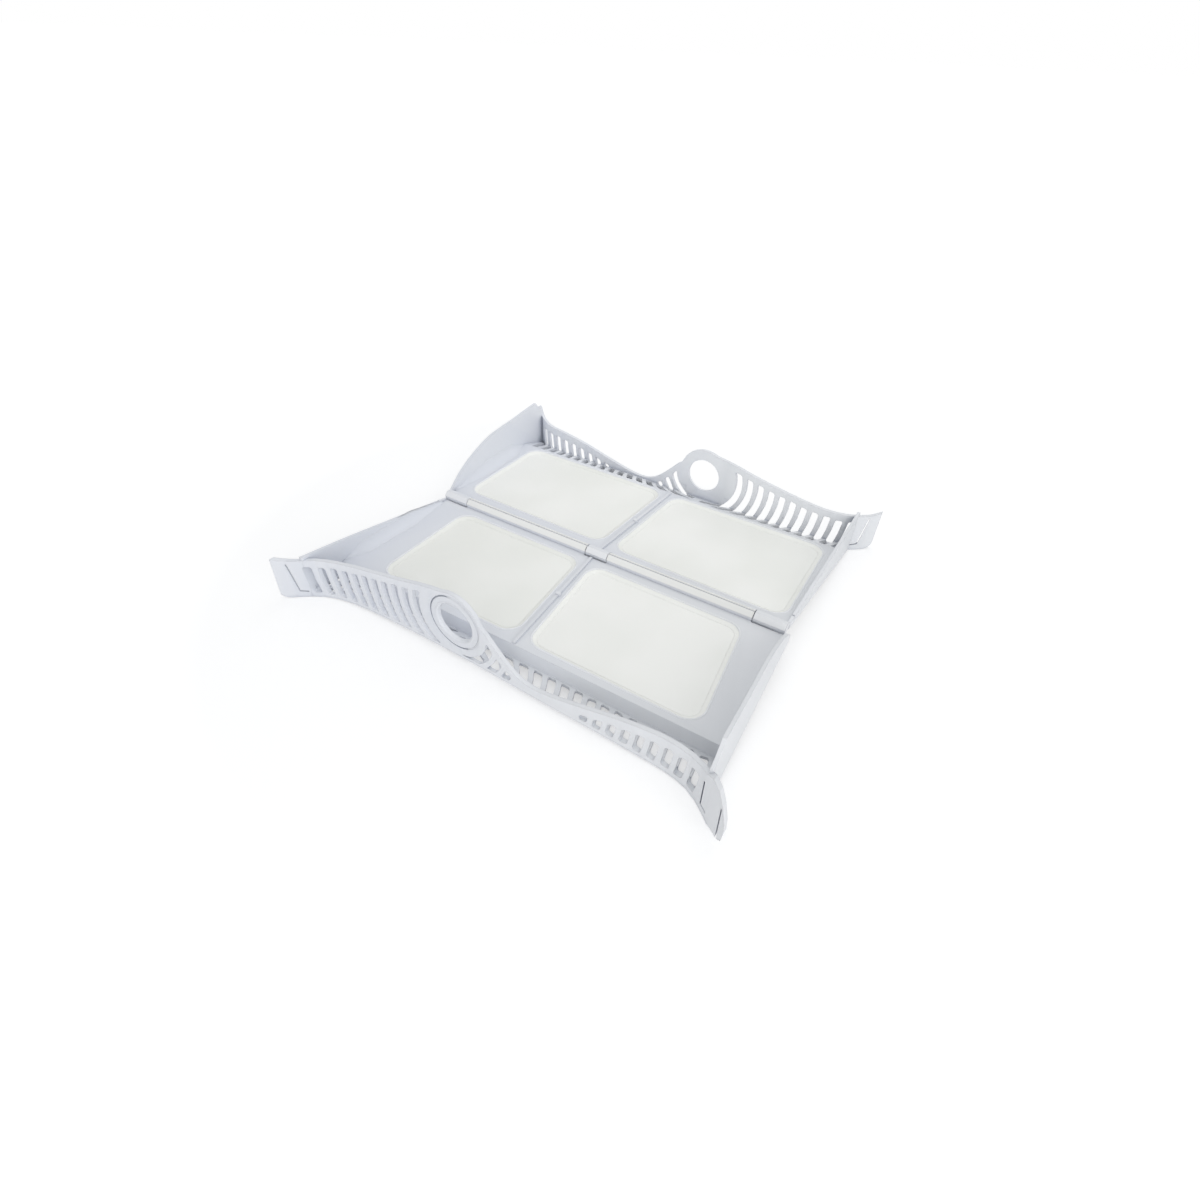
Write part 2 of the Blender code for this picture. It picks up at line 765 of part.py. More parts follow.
def hinge_bores(leaf):
    """Blind bores in both ends of each barrel of the leaf that takes the pins."""
    shapes = []
    for i, (low, high) in enumerate(leaf.knuckles):
        for side, mouth in (("low", low), ("high", high)):
            inward = BORE_DEPTH if side == "low" else -BORE_DEPTH
            ends = sorted((mouth - inward, mouth + inward))
            radius = PIN_RADIUS + PIN_CLEARANCE
            mesh = cylinder("bore", radius, ends[0], ends[1], BARREL_SIDES)
            shapes.append((f"_bore_{i}_{side}", mesh))
    return shapes


def rib(leaf):
    """The thin rib on the bar between the windows, and the pip halfway along it."""
    left = leaf.windows[0]
    right = leaf.windows[1]
    start = (left[0][0] + right[0][0]) / 2 * HALF_LENGTH
    finish = (left[3][0] + right[1][0]) / 2 * HALF_LENGTH
    half = RIB_WIDTH / 2
    low = FLOOR_SETBACK + JOIN
    high = RIDGE_DISTANCE - JOIN
    strip = [(start - half, low), (start + half, low), (finish + half, high), (finish - half, high)]
    middle = start + (finish - start) * RIB_PIP_DISTANCE / RIDGE_DISTANCE
    sides = evenly(0, 2 * math.pi, ROUND_SIDES // 2)[:-1]
    pip = [polar((middle, RIB_PIP_DISTANCE), RIB_PIP_RADIUS, angle) for angle in sides]
    base = -FLOOR_THICKNESS / 2
    return (
        prism(leaf.name + "_rib", [(strip, base, RIB_HEIGHT)], PLAN),
        prism(leaf.name + "_pip", [(pip, base, RIB_PIP_HEIGHT)], PLAN),
    )


def side_notch(leaf):
    low = SIDE_NOTCH_DISTANCE - SIDE_NOTCH_WIDTH / 2
    high = SIDE_NOTCH_DISTANCE + SIDE_NOTCH_WIDTH / 2
    top = side_top(TALL_SIDE_SHARES, TALL_SIDE_RISE, SIDE_NOTCH_DISTANCE)
    floor_level = top - SIDE_NOTCH_DEPTH
    outer = tall_side(SIDE_NOTCH_DISTANCE, -SIDE_THICKNESS)
    inner = tall_side(SIDE_NOTCH_DISTANCE, 2 * SIDE_THICKNESS)
    points = [(outer, low), (inner, low), (inner, high), (outer, high)]
    return prism(leaf.name + "_notch", [(points, floor_level, RIM_RISE)], PLAN)


def meeting_u(line, start):
    """Where a side wall's line meets the front wall's middle line."""
    u = start
    for _ in range(CURVE_STEPS):
        u = line(wall_distance(u), 0)
    return u


def moulded_leaf(leaf):
    """One leaf as a single moulding: the blanks joined, then everything cut from it."""
    body = floor(leaf)
    body.name = leaf.name
    tall_end = meeting_u(tall_side, -HALF_LENGTH)
    low_end = meeting_u(low_side, HALF_LENGTH)
    added = [
        front_wall(leaf),
        side_wall(leaf, "_tall_side", tall_side, TALL_SIDE_SHARES, TALL_SIDE_RISE, tall_end),
        side_wall(leaf, "_low_side", low_side, LOW_SIDE_SHARES, LOW_SIDE_RISE, low_end),
    ]
    added += rib(leaf)
    lift = Matrix.Translation((0, 0, AXIS_RISE))
    for name, mesh in hinge_barrels(leaf):
        mesh.transform(lift)
        added.append(helper(leaf.name + name, mesh))
    for other in added:
        combine(body, "UNION", other)

    through = [(points, -BOTTOM_DEPTH, OVERRUN) for points in window_outlines(leaf, 0)]
    seats = [(points, -BOTTOM_DEPTH, -SCREEN_RECESS) for points in window_outlines(leaf, SCREEN_LAP)]
    cuts = [
        prism(leaf.name + "_windows", through, PLAN),
        prism(leaf.name + "_screen_seats", seats, PLAN),
        prism(leaf.name + "_wall_slots", wall_slots(), ELEVATION),
        prism(leaf.name + "_header_holes", header_holes(leaf), PLAN),
        prism(leaf.name + "_slits", slit_cutters(), ELEVATION),
        side_notch(leaf),
    ]
    cuts += ring_cutters(leaf)
    if not leaf.holds_pins:
        for name, mesh in hinge_bores(leaf):
            mesh.transform(lift)
            cuts.append(helper(leaf.name + name, mesh))
    for other in cuts:
        combine(body, "DIFFERENCE", other)
    cutters.objects.unlink(body)
    body.hide_render = False
    body.display_type = "TEXTURED"
    return body


def gauze_screens(leaf):
    """A flat sheet under each window, in the seat moulded for it."""
    screens = []
    for side, points in zip(("left", "right"), window_outlines(leaf, SCREEN_LAP - SEAT_CLEARANCE)):
        top = -SCREEN_RECESS - SEAT_CLEARANCE
        name = leaf.name.replace("frame", "screen") + "_" + side
        mesh = prism_mesh(name, [(points, top - SCREEN_THICKNESS, top)], PLAN)
        screens.append(bpy.data.objects.new(name, mesh))
    return screens


def material(name, colour, roughness):
    made = bpy.data.materials.new(name)
    made.use_nodes = True
    shader = made.node_tree.nodes["Principled BSDF"]
    shader.inputs["Base Color"].default_value = (*colour, 1)
    shader.inputs["Roughness"].default_value = roughness
    shader.inputs["Metallic"].default_value = 0
    return made


def stand_height():
    """Height of the floor's upper face above what the filter stands on."""
    return BOTTOM_DEPTH


for old in list(bpy.data.objects):
    bpy.data.objects.remove(old)
filter_parts = bpy.data.collections.new("lint_filter")
cutters = bpy.data.collections.new("cutters")
for group in (filter_parts, cutters):
    bpy.context.scene.collection.children.link(group)

near_leaf = Leaf(
    "near_frame",
    NEAR_WINDOW_SHARES,
    ((NEAR_STEP_LENGTH, NEAR_STEP_DEPTH),),
    LONG_KNUCKLES,
    False,
)
far_leaf = Leaf(
    "far_frame",
    FAR_WINDOW_SHARES,
    ((WALL_DISTANCE - RIDGE_DISTANCE, FAR_SLOPE_DEPTH),),
    SHORT_KNUCKLES,
    True,
)
plastic = material("white_plastic", (0.80, 0.82, 0.87), 0.42)
gauze = material("cream_gauze", (0.86, 0.86, 0.80), 0.85)

hinge_axis = bpy.data.objects.new("hinge_axis", None)
hinge_axis.location = (0, 0, stand_height() + AXIS_RISE)
filter_parts.objects.link(hinge_axis)
bpy.context.view_layer.update()

for leaf, half_turn in ((near_leaf, 0), (far_leaf, math.pi)):
    frame = moulded_leaf(leaf)
    for shape in cutters.objects:
        if shape.name.startswith(leaf.name):
            shape.parent = frame
    for piece in [frame] + gauze_screens(leaf):
        filter_parts.objects.link(piece)
        piece.data.materials.clear()
        piece.data.materials.append(plastic if piece is frame else gauze)
        piece.parent = hinge_axis
        piece.location = (0, 0, -AXIS_RISE)
        piece.rotation_euler = (0, 0, half_turn)
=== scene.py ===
"""A tumble-dryer lint filter lying open on a white table, in soft studio light.

Lengths are in metres unless a comment says otherwise, colours linear unless made by srgb().
"""

import math

import bmesh
import bpy
from mathutils import Matrix, Vector


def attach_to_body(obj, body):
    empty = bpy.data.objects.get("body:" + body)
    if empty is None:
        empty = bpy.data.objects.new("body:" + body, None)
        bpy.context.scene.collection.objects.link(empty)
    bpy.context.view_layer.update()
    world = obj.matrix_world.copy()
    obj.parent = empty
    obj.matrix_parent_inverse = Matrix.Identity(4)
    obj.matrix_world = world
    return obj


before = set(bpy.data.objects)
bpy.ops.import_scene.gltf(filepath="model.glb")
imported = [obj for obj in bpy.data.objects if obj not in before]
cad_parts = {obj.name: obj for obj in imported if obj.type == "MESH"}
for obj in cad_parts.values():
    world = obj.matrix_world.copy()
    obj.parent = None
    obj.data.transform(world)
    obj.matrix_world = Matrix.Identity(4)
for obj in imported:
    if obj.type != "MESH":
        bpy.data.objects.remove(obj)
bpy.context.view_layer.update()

# Camera, fitted to the photograph
CAMERA_AZIMUTH = math.radians(30.446)
CAMERA_ELEVATION = math.radians(39.817)
CAMERA_ROLL = math.radians(2.586)
CAMERA_DISTANCE = 0.4400
CAMERA_SIDE = 0.0008
CAMERA_DROP = -0.0296
CAMERA_NEAREST = 0.01
FLOOR_TOP = 0.0125  # upper face of the leaves' floors above the table
SENSOR_WIDTH = 36.0  # in millimetres
FOCAL_LENGTH = 19.965  # in millimetres

# Table: plain white, with the filter's soft shadow on it
TABLE_SIZE = 120.0
TABLE_GAP = 0.0002  # from the table up to the filter's lowest edge
TABLE_BOUNCE_SHARE = 0.90  # of the light that reaches the table, thrown back on the filter
TABLE_WHITE_SHARE = 0.50  # what the table shows in full shadow
TABLE_SHADE_SHARE = 0.61  # how strongly it shows the light that falls on it
TABLE_FADE_START = 0.24  # beyond this distance the table turns plain white
TABLE_FADE_END = 0.55

# Light
WORLD_LEVEL = 0.66
WORLD_TINT = (0.97, 0.985, 1.0, 1)
WHITE = (1, 1, 1, 1)
# Lamps: name, azimuth, elevation, distance, width, power in watts
LAMPS = (
    ("key", math.radians(-170), math.radians(55), 0.45, 0.5, 0.40),
    ("front", math.radians(45), math.radians(15), 1.0, 1.0, 4.5),
)

# Screen colours of the plastics: cool side and neutral side, which paint light across x (paler
# and bluer to the left, darker and greyer to the right), a painted highlight for edges and, on
# the mouldings, painted shade for creases
MOULDING_COLOURS_AND_PAINTED_LIGHT = ((226, 229, 236), (223, 225, 228), (240, 241, 244), (182, 187, 198))
# Paler copy of the plastic for window lips and short knuckles: a painted highlight
LIP_HIGHLIGHT_COLOURS = ((238, 240, 245), (234, 236, 238), (247, 247, 248))
# Paler copy of the plastic for the long barrels' lands and beads: a painted highlight
LAND_HIGHLIGHT_COLOURS = ((244, 244, 242), (238, 238, 234), (248, 248, 246))
# Dark copy of the plastic for a thin strip along the long barrels: a painted shadow line
SHADOW_LINE_COLOURS = ((168, 172, 184), (165, 169, 178), (176, 180, 190))
PAINTED_LIGHT_REACH = 0.12  # painted light across x: from x = 0 to where one side's colour is nearly full
PAINTED_LIGHT_RANGE = (-0.2, 1.2)  # mix of cool and neutral at those two places
CLOUD_RANGE = (-0.3, 0.3)  # what the uneven cloud adds to that mix
CLOUD_BAND = (0.3, 0.7)  # where most of the cloud's values lie
CLOUD_SCALE = 22.0  # patches in a metre
FLOW_SCALE = 160.0
FLOW_DEPTH = 0.0004
GRAIN_SCALE = 2600.0
GRAIN_DEPTH = 0.00006
EDGE_RADIUS = 0.0005
HIGHLIGHT_EDGE_BAND = (0.52, 0.60)  # painted highlight on edges: pointiness, from a flat face to an edge
HIGHLIGHT_EDGE_RANGE = (0.0, 0.5)
# Painted shade in creases, found by ambient occlusion
CREASE_SHADE_REACH = 0.007
CREASE_SHADE_BAND = (0.15, 0.70)  # painted crease shade: openness, from a crease to an open face
SCATTER_REACH = 0.0015
PLASTIC_ROUGHNESS = (0.36, 0.46)

# Gauze
GAUZE_COLOURS = ((254, 254, 250), (242, 243, 237))  # threads, and the gaps between them
GAUZE_PITCH = 0.0006
GAUZE_DEPTH = 0.00008
THREAD_BAND = (-0.9, 0.6)
THREAD_RANGE = (0.0, 0.6)
GAUZE_CLOUD_SCALE = 16.0
GAUZE_CLOUD_BAND = (0.35, 0.65)
GAUZE_CLOUD_RANGE = (-0.2, 0.4)

# Windows: each leaf's left and right one, corners as (u, q), along the hinge and away from it
WINDOWS = {
    "near": (
        ((-0.0062, 0.0107), (-0.1063, 0.0105), (-0.1050, 0.0925), (0.0009, 0.0925)),
        ((0.0018, 0.0105), (0.0100, 0.0935), (0.1186, 0.0940), (0.1080, 0.0120)),
    ),
    "far": (
        ((-0.0022, 0.0120), (-0.1252, 0.0100), (-0.1240, 0.0966), (-0.0066, 0.0970)),
        ((0.0072, 0.0129), (0.0021, 0.0972), (0.1242, 0.0972), (0.1242, 0.0140)),
    ),
}
WINDOW_RADIUS = 0.0105
CORNER_STEPS = 8
# Sections round a window: (inward, up) from the floor's edge
LIP_SECTION = (
    (-0.0008, -0.0001),
    (-0.0005, 0.0002),
    (0.0000, 0.0003),
    (0.0004, 0.0001),
    (0.0006, -0.0004),
    (0.0004, -0.0018),
    (-0.0002, -0.0018),
)
BORDER_SECTION = (
    (0.0004, -0.0003),
    (0.0009, -0.0007),
    (0.0016, -0.0012),
    (0.0024, -0.0016),
    (0.0034, -0.00178),
    (0.0034, -0.0018),
    (0.0004, -0.0018),
)

# Hinge: barrels as (start, end) along x, and strips along them as (distance from the axis,
# angle from +Y over +Z)
AXIS_RISE = 0.0008  # hinge axis above the floors' upper face
LONG_BARRELS = {"left": (-0.1096, -0.0084), "right": (0.0084, 0.1096)}
SHORT_BARRELS = {
    "left": (-0.1299, -0.1102),
    "middle": (-0.0079, 0.0079),
    "right": (0.1102, 0.1299),
}
LAND_SECTION = (
    (0.0040, math.radians(108)),
    (0.0047, math.radians(109)),
    (0.0049, math.radians(112)),
    (0.0048, math.radians(160)),
    (0.0046, math.radians(163)),
    (0.0040, math.radians(165)),
)
BEAD_SECTION = (
    (0.0040, math.radians(86)),
    (0.0047, math.radians(90)),
    (0.0050, math.radians(93)),
    (0.0049, math.radians(97)),
    (0.0045, math.radians(100)),
    (0.0040, math.radians(101)),
)
# A thin dark strip next to the bead: a painted shadow line
SHADOW_LINE_SECTION = (
    (0.0040, math.radians(100)),
    (0.00426, math.radians(100)),
    (0.00426, math.radians(110)),
    (0.0040, math.radians(110)),
)

# Side walls' inner faces: u at the hinge, and its change for each unit of q
WALL_STARTS = {"low": 0.1315, "tall": -0.1280}
WALL_SPLAY_SHARES = {"low": 0.0439, "tall": -0.0351}
# Coves at the walls' feet: full radius, and growth towards it for each unit of q
COVE_RADII = {
    ("near", "low"): 0.006,
    ("near", "tall"): 0.008,
    ("far", "low"): 0.009,
    ("far", "tall"): 0.004,
}
COVE_GROWTH_SHARES = {
    ("near", "low"): 0.12,
    ("near", "tall"): 0.20,
    ("far", "low"): 0.20,
    ("far", "tall"): 0.12,
}
COVE_TAPER_SHARE = 0.5  # radius for each unit of q that is left to the cove's end
COVE_START = 0.008
COVE_END = 0.0985
COVE_STEPS = 6
COVE_STATIONS = 24
SINK = 0.0002  # how far a cove runs into the moulding it belongs to

# Finger ring on the front wall: middle of its outer face as (u, q, z), and the wall's turn there
RING_PLACE = (-0.0210, 0.1153, 0.0147)
RING_TURN = math.radians(1.46)
RING_STEPS = 96
# Sections about the ring's middle: (distance from it, out of the face)
BEAD_RING = (
    (0.0127, -0.0006),
    (0.0130, 0.0001),
    (0.0134, 0.0003),
    (0.0139, 0.0002),
    (0.0143, -0.0002),
    (0.0143, -0.0006),
)
BEAD_RING_ARC = (0, 2 * math.pi)
GROOVE_FILL = ((0.01686, -0.0008), (0.01686, 0.00003), (0.01774, 0.00003), (0.01774, -0.0008))
GROOVE_FILL_ARC = (math.radians(-62), math.radians(100))


def srgb(red, green, blue):
    """A linear colour from 8-bit screen values."""

    def linear(value):
        share = value / 255
        if share <= 0.04045:
            return share / 12.92
        return ((share + 0.055) / 1.055) ** 2.4

    return (linear(red), linear(green), linear(blue), 1)


def add_camera():
    back = Vector(
        (
            math.sin(CAMERA_AZIMUTH) * math.cos(CAMERA_ELEVATION),
            -math.cos(CAMERA_AZIMUTH) * math.cos(CAMERA_ELEVATION),
            math.sin(CAMERA_ELEVATION),
        )
    )
    right = (-back).cross(Vector((0, 0, 1))).normalized()
    up = right.cross(-back)
    side = math.cos(CAMERA_ROLL) * right + math.sin(CAMERA_ROLL) * up
    top = -math.sin(CAMERA_ROLL) * right + math.cos(CAMERA_ROLL) * up
    centre = back * CAMERA_DISTANCE + side * CAMERA_SIDE + top * CAMERA_DROP
    centre.z += FLOOR_TOP
    data = bpy.data.cameras.new("camera")
    data.sensor_width = SENSOR_WIDTH
    data.lens = FOCAL_LENGTH
    data.clip_start = CAMERA_NEAREST
    camera = bpy.data.objects.new("camera", data)
    bpy.context.scene.collection.objects.link(camera)
    camera.matrix_world = Matrix(
        (
            (side.x, top.x, back.x, centre.x),
            (side.y, top.y, back.y, centre.y),
            (side.z, top.z, back.z, centre.z),
            (0, 0, 0, 1),
        )
    )
    bpy.context.scene.camera = camera


class Nodes:
    """Short calls for building a material's node tree."""

    def __init__(self, name):
        self.material = bpy.data.materials.new(name)
        self.material.use_nodes = True
        self.tree = self.material.node_tree
        self.shader = self.tree.nodes["Principled BSDF"]

    def add(self, kind, **values):
        node = self.tree.nodes.new(kind)
        for key, value in values.items():
            setattr(node, key, value)
        return node

    def link(self, source, target):
        self.tree.links.new(source, target)

    def set(self, socket, value):
        """Give one of the shader's sockets a constant, or the result of another node."""
        if isinstance(value, bpy.types.NodeSocket):
            self.link(value, self.shader.inputs[socket])
        else:
            self.shader.inputs[socket].default_value = value

    def noise(self, place, scale, detail, roughness):
        node = self.add("ShaderNodeTexNoise")
        node.inputs["Scale"].default_value = scale
        node.inputs["Detail"].default_value = detail
        node.inputs["Roughness"].default_value = roughness
        self.link(place, node.inputs["Vector"])
        return node.outputs["Fac"]

    def spread(self, value, source, target):
        """Map a value from one (low, high) range to another, and stop it at the ends."""
        node = self.add("ShaderNodeMapRange")
        node.inputs["From Min"].default_value, node.inputs["From Max"].default_value = source
        node.inputs["To Min"].default_value, node.inputs["To Max"].default_value = target
        self.link(value, node.inputs["Value"])
        return node.outputs["Result"]

    def math(self, operation, first, second=None):
        node = self.add("ShaderNodeMath", operation=operation)
        for socket, value in zip(node.inputs, (first, second)):
            if value is None:
                continue
            if isinstance(value, (int, float)):
                socket.default_value = value
            else:
                self.link(value, socket)
        return node.outputs["Value"]

    def mix(self, factor, first, second):
        node = self.add("ShaderNodeMix", data_type="RGBA")
        self.link(factor, node.inputs["Factor"])
        # The node's colour sockets share their names with others, so they go by number
        for socket, value in ((node.inputs[6], first), (node.inputs[7], second)):
            if isinstance(value, tuple):
                socket.default_value = value
            else:
                self.link(value, socket)
        return node.outputs[2]

    def bump(self, height, strength, distance, normal=None):
        node = self.add("ShaderNodeBump")
        node.inputs["Strength"].default_value = strength
        node.inputs["Distance"].default_value = distance
        self.link(height, node.inputs["Height"])
        if normal is not None:
            self.link(normal, node.inputs["Normal"])
        return node.outputs["Normal"]


def moulded_plastic(name, colours):
    """White polypropylene: uneven and finely grained, with painted light that is paler and bluer
    to the left, a painted highlight on edges and painted shade in creases.
    """
    cool, neutral, edge_highlight, *painted_crease_shade = [srgb(*colour) for colour in colours]
    nodes = Nodes(name)
    place = nodes.add("ShaderNodeTexCoord").outputs["Object"]
    split = nodes.add("ShaderNodeSeparateXYZ")
    nodes.link(place, split.inputs["Vector"])
    cloud = nodes.noise(place, CLOUD_SCALE, detail=4.0, roughness=0.55)
    grain = nodes.noise(place, GRAIN_SCALE, detail=2.0, roughness=0.6)
    flow = nodes.noise(place, FLOW_SCALE, detail=3.0, roughness=0.5)
    # Painted light: paler and bluer to the left, darker and greyer to the right, with random
    # cloud on top
    across = nodes.spread(split.outputs["X"], (-PAINTED_LIGHT_REACH, PAINTED_LIGHT_REACH), PAINTED_LIGHT_RANGE)
    drift = nodes.math("ADD", across, nodes.spread(cloud, CLOUD_BAND, CLOUD_RANGE))
    colour = nodes.mix(drift, cool, neutral)
    # Painted highlight: a paler colour on pointed edges
    pointed = nodes.add("ShaderNodeNewGeometry").outputs["Pointiness"]
    colour = nodes.mix(nodes.spread(pointed, HIGHLIGHT_EDGE_BAND, HIGHLIGHT_EDGE_RANGE), colour, edge_highlight)
    # Painted shade: a darker colour mixed in where creases hide the face
    if painted_crease_shade:
        crease_shade_occlusion = nodes.add("ShaderNodeAmbientOcclusion", samples=8)
        crease_shade_occlusion.inputs["Distance"].default_value = CREASE_SHADE_REACH
        openness = nodes.spread(crease_shade_occlusion.outputs["AO"], CREASE_SHADE_BAND, (0.0, 1.0))
        colour = nodes.mix(openness, painted_crease_shade[0], colour)
    nodes.set("Base Color", colour)
    nodes.set("Roughness", nodes.spread(cloud, CLOUD_BAND, PLASTIC_ROUGHNESS))
    nodes.set("IOR", 1.49)
    nodes.set("Subsurface Weight", 0.08)
    nodes.set("Subsurface Radius", (1.0, 1.0, 1.0))
    nodes.set("Subsurface Scale", SCATTER_REACH)
    soft = nodes.add("ShaderNodeBevel", samples=4)
    soft.inputs["Radius"].default_value = EDGE_RADIUS
    normal = nodes.bump(flow, 0.12, FLOW_DEPTH, soft.outputs["Normal"])
    nodes.set("Normal", nodes.bump(grain, 0.10, GRAIN_DEPTH, normal))
    return nodes.material


def woven_gauze(name, colours):
    """Fine plain-woven gauze: threads both ways, darker in the gaps between them."""
    thread, gap = [srgb(*colour) for colour in colours]
    nodes = Nodes(name)
    place = nodes.add("ShaderNodeTexCoord").outputs["Object"]
    split = nodes.add("ShaderNodeSeparateXYZ")
    nodes.link(place, split.inputs["Vector"])
    waves = []
    for axis in ("X", "Y"):
        turn = nodes.math("MULTIPLY", split.outputs[axis], 2 * math.pi / GAUZE_PITCH)
        waves.append(nodes.math("SINE", turn))
    threads = nodes.math("MAXIMUM", waves[0], waves[1])
    cloud = nodes.noise(place, GAUZE_CLOUD_SCALE, detail=2.0, roughness=0.45)
    weave = nodes.spread(threads, THREAD_BAND, THREAD_RANGE)
    lift = nodes.spread(cloud, GAUZE_CLOUD_BAND, GAUZE_CLOUD_RANGE)
    nodes.set("Base Color", nodes.mix(nodes.math("ADD", weave, lift), gap, thread))
    nodes.set("Roughness", 0.5)
    nodes.set("Sheen Weight", 0.10)
    nodes.set("Sheen Roughness", 0.5)
    nodes.set("Normal", nodes.bump(threads, 0.35, GAUZE_DEPTH))
    return nodes.material


def seen_rays(tree):
    """1 for rays by which the camera sees a surface, itself or mirrored, and 0 for others."""
    path = tree.nodes.new("ShaderNodeLightPath")
    result = path.outputs["Is Camera Ray"]
    for kind in ("Is Glossy Ray", "Is Transmission Ray"):
        either = tree.nodes.new("ShaderNodeMath")
        either.operation = "MAXIMUM"
        tree.links.new(result, either.inputs[0])
        tree.links.new(path.outputs[kind], either.inputs[1])
        result = either.outputs["Value"]
    return result


def add_table():
    """A white sweep that keeps the filter's soft shadow and shows white behind it."""
    half = TABLE_SIZE / 2
    mesh = bpy.data.meshes.new("table")
    corners = [(-half, -half, 0), (half, -half, 0), (half, half, 0), (-half, half, 0)]
    mesh.from_pydata(corners, [], [(0, 1, 2, 3)])
    table = bpy.data.objects.new("table", mesh)
    bpy.context.scene.collection.objects.link(table)
    table.location = (0, 0, -TABLE_GAP)
    nodes = Nodes("white_table")
    nodes.set("Base Color", (*(TABLE_BOUNCE_SHARE,) * 3, 1))
    nodes.set("Roughness", 0.9)
    nodes.set("Specular IOR Level", 0.1)
    shown = nodes.add("ShaderNodeBsdfDiffuse")
    shown.inputs["Color"].default_value = (*(TABLE_SHADE_SHARE,) * 3, 1)
    glow = nodes.add("ShaderNodeEmission")
    place = nodes.add("ShaderNodeTexCoord").outputs["Object"]
    reach = nodes.add("ShaderNodeVectorMath", operation="LENGTH")
    nodes.link(place, reach.inputs[0])
    fade = nodes.spread(
        reach.outputs["Value"], (TABLE_FADE_START, TABLE_FADE_END), (TABLE_WHITE_SHARE, 1.0)
    )
    nodes.link(fade, glow.inputs["Strength"])
    both = nodes.add("ShaderNodeAddShader")
    nodes.link(shown.outputs["BSDF"], both.inputs[0])
    nodes.link(glow.outputs["Emission"], both.inputs[1])
    mix = nodes.add("ShaderNodeMixShader")
    nodes.link(seen_rays(nodes.tree), mix.inputs["Fac"])
    nodes.link(nodes.shader.outputs["BSDF"], mix.inputs[1])
    nodes.link(both.outputs["Shader"], mix.inputs[2])
    nodes.link(mix.outputs["Shader"], nodes.tree.nodes["Material Output"].inputs["Surface"])
    mesh.materials.append(nodes.material)


def add_world():
    """Soft light from all round, and plain white where the camera looks past the table."""
    world = bpy.data.worlds.new("studio")
    bpy.context.scene.world = world
    world.use_nodes = True
    tree = world.node_tree
    tree.nodes.clear()
    output = tree.nodes.new("ShaderNodeOutputWorld")
    mix = tree.nodes.new("ShaderNodeMixShader")
    tree.links.new(seen_rays(tree), mix.inputs["Fac"])
    for socket, colour, level in ((1, WORLD_TINT, WORLD_LEVEL), (2, WHITE, 1.0)):
        light = tree.nodes.new("ShaderNodeBackground")
        light.inputs["Color"].default_value = colour
        light.inputs["Strength"].default_value = level
        tree.links.new(light.outputs["Background"], mix.inputs[socket])
    tree.links.new(mix.outputs["Shader"], output.inputs["Surface"])


def add_lamp(name, azimuth, elevation, distance, width, power):
    """A square soft lamp at an angle about the filter, aimed at its middle."""
    data = bpy.data.lights.new(name, "AREA")
    data.shape = "SQUARE"
    data.size = width
    data.energy = power
    lamp = bpy.data.objects.new(name, data)
    bpy.context.scene.collection.objects.link(lamp)
    flat = distance * math.cos(elevation)
    lamp.location = (
        flat * math.sin(azimuth),
        -flat * math.cos(azimuth),
        distance * math.sin(elevation),
    )
    lamp.rotation_euler = (-Vector(lamp.location)).to_track_quat("-Z", "Y").to_euler()


def leaf_point(side, u, q, z):
    """A leaf's point in the shared frame, z up from the floors' upper face."""
    if side == "near":
        return (u, -q, FLOOR_TOP + z)
    return (-u, q, FLOOR_TOP + z)


def swept(name, rings, closed):
    """A mesh through equal rings of points, joined end to end if closed, capped if not."""
    work = bmesh.new()
    rows = [[work.verts.new(point) for point in ring] for ring in rings]
    count = len(rows)
    across = len(rows[0])
    for i in range(count if closed else count - 1):
        here = rows[i]
        there = rows[(i + 1) % count]
        for j in range(across):
            k = (j + 1) % across
            work.faces.new((here[j], here[k], there[k], there[j]))
    if not closed:
        work.faces.new(rows[0])
        work.faces.new(rows[-1][::-1])
    bmesh.ops.recalc_face_normals(work, faces=work.faces)
    mesh = bpy.data.meshes.new(name)
    work.to_mesh(mesh)
    work.free()
    for face in mesh.polygons:
        face.use_smooth = True
    piece = bpy.data.objects.new(name, mesh)
    bpy.context.scene.collection.objects.link(piece)
    return piece


def rounded(corners, radius):
    """Points and inward directions round a window with round corners."""
    result = []
    count = len(corners)
    for i, corner in enumerate(corners):
        here = Vector(corner)
        before = (Vector(corners[i - 1]) - here).normalized()
        after = (Vector(corners[(i + 1) % count]) - here).normalized()
        half = before.angle(after) / 2
        centre = here + (before + after).normalized() * radius / math.sin(half)
        first = here + before * radius / math.tan(half) - centre
        last = here + after * radius / math.tan(half) - centre
        for step in range(CORNER_STEPS + 1):
            spoke = first.lerp(last, step / CORNER_STEPS).normalized() * radius
            result.append((centre + spoke, -spoke.normalized()))
    return result


def window_edge(side, name, corners, section):
    """One section carried round a window's edge."""
    rings = []
    for point, inward in rounded(corners, WINDOW_RADIUS):
        ring = []
        for reach, rise in section:
            place = point + inward * reach
            ring.append(leaf_point(side, place.x, place.y, rise))
        rings.append(ring)
    return swept(f"{side}_{name}", rings, True)


